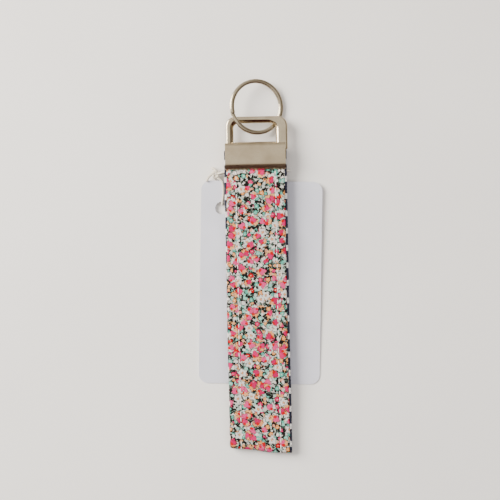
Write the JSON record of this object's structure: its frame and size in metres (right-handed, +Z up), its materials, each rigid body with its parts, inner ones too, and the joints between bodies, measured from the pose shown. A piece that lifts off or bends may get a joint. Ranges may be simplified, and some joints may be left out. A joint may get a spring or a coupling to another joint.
{
  "type": "wristlet keychain",
  "caption": "Doubled fabric-faced webbing wrist strap crimped in a stamped clamp with a dee loop, a split ring for keys and a blank card swing tag on string.",
  "frame": {"origin": "on the surface it lies on, under the middle of the object's length and width", "axes": "+Y along the strap towards the ring, +X across its width, +Z up from the surface, through both layers of the strap"},
  "size_m": [0.0677, 0.196, 0.0107],
  "materials": {
    "nickel_clamp": "satin",
    "nickel_loop": "polished",
    "steel_ring": "polished",
    "webbing": "matte",
    "lawn": "matte",
    "thread": "matte",
    "string": "matte",
    "card": "matte"
  },
  "bodies": {
    "fob": {"clamp_shell": "nickel_clamp", "dee_loop": "nickel_loop", "webbing_ends": "webbing", "lawn_ends": "lawn", "webbing_back_upper": "webbing", "lawn_back_upper": "lawn", "stitches_back_upper": "thread", "string_round_strap": "string", "string_knot": "string"},
    "ring": {"split_ring": "steel_ring"},
    "back_lower": {"webbing_back_lower": "webbing", "lawn_back_lower": "lawn", "stitches_back_lower": "thread", "webbing_fold": "webbing", "lawn_fold": "lawn", "stitches_fold": "thread"},
    "front_lower": {"webbing_front_lower": "webbing", "lawn_front_lower": "lawn", "stitches_front_lower": "thread"},
    "front_upper": {"webbing_front_upper": "webbing", "lawn_front_upper": "lawn", "stitches_front_upper": "thread"},
    "tag": {"string_to_tag": "string", "swing_tag": "card"}
  },
  "joints": [
    {"name": "ring_swing", "type": "hinge", "parent": "fob", "child": "ring", "pos_m": [0, 0.0762, 0.0068], "axis": [1, 0, 0], "range_deg": [0, 60]},
    {"name": "loop_open", "type": "hinge", "parent": "fob", "child": "back_lower", "pos_m": [0, -0.0219, 0.00263], "axis": [-1, 0, 0], "range_deg": [0, 50]},
    {"name": "fold_open", "type": "hinge", "parent": "back_lower", "child": "front_lower", "pos_m": [0, -0.09525, 0.0028], "axis": [1, 0, 0], "range_deg": [0, 50]},
    {"name": "front_bend", "type": "hinge", "parent": "front_lower", "child": "front_upper", "pos_m": [0, -0.0219, 0.00598], "axis": [-1, 0, 0], "range_deg": [0, 50]},
    {"name": "tag_swing", "type": "hinge", "parent": "fob", "child": "tag", "pos_m": [-0.0209, 0.04845, 0.0023], "axis": [0, -0.0148, 0.9999], "range_deg": [-90, 0]}
  ],
  "couplings": [
    {"joint": "fold_open", "follows": "loop_open", "ratio": 1},
    {"joint": "front_bend", "follows": "loop_open", "ratio": 1}
  ]
}
